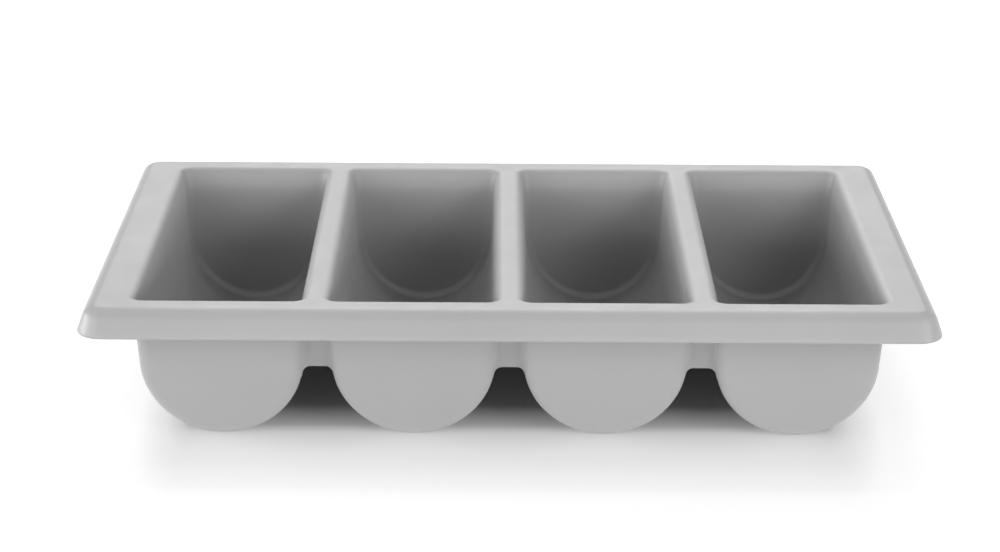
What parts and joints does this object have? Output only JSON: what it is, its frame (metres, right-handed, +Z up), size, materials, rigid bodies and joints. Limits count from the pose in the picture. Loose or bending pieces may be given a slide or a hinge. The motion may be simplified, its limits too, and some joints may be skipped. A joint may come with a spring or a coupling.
{
  "type": "cutlery box",
  "caption": "Open cutlery box with round-bottomed wells side by side under one overhanging rim with a turned-down skirt; sorts loose knives, forks and spoons.",
  "frame": {"origin": "on the table, under the middle of the box", "axes": "+X along the row of wells, +Y from front to back along each well, +Z up"},
  "size_m": [0.53, 0.325, 0.095],
  "materials": {
    "plastic": "satin light grey"
  },
  "bodies": {
    "root": {"rim_skirt": "plastic", "rim_deck": "plastic", "divider_1": "plastic", "divider_2": "plastic", "divider_3": "plastic", "collar_1": "plastic", "collar_2": "plastic", "collar_3": "plastic", "collar_4": "plastic", "trough_1": "plastic", "trough_2": "plastic", "trough_3": "plastic", "trough_4": "plastic", "front_end_1": "plastic", "front_end_2": "plastic", "front_end_3": "plastic", "front_end_4": "plastic", "back_end_1": "plastic", "back_end_2": "plastic", "back_end_3": "plastic", "back_end_4": "plastic", "front_web_1": "plastic", "front_web_2": "plastic", "front_web_3": "plastic", "back_web_1": "plastic", "back_web_2": "plastic", "back_web_3": "plastic"}
  },
  "joints": []
}
